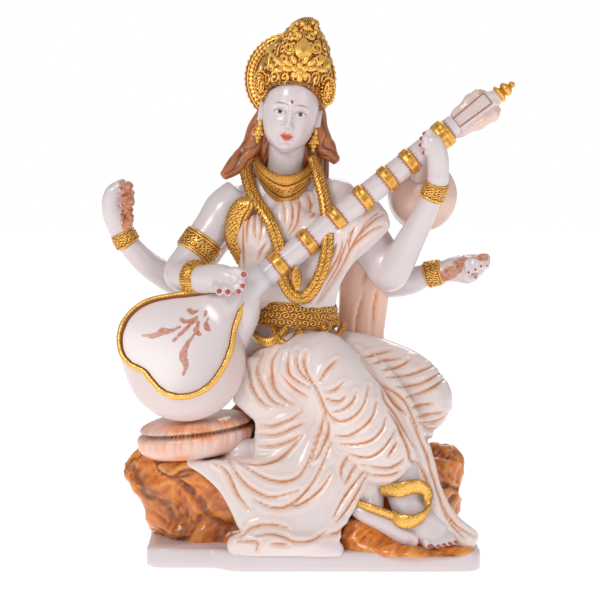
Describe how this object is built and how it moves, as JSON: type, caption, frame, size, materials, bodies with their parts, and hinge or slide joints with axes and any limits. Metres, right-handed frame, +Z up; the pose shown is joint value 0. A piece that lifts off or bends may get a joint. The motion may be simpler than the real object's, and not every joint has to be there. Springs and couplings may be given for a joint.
{
  "type": "saraswati figurine",
  "caption": "Seated four-armed goddess playing a long-necked lute on a rock seat and stepped plinth, a painted and gilt cast-marble figurine.",
  "frame": {"origin": "centre of the plinth's flat underside, halfway between its left and right ends", "axes": "+Z up, -Y towards the front of the figure, +X to the viewer's right, the side of the lute's peg box"},
  "size_m": [0.2242, 0.1021, 0.3],
  "materials": {
    "marble": "polished white cast marble, washed with peach and orange",
    "gold": "gilt paint, darkened brown in the hollows",
    "rock": "cast marble under glossy burnt orange and brown paint",
    "hair": "cast marble under reddish brown paint"
  },
  "bodies": {
    "root": {"figure": "marble"}
  },
  "joints": []
}
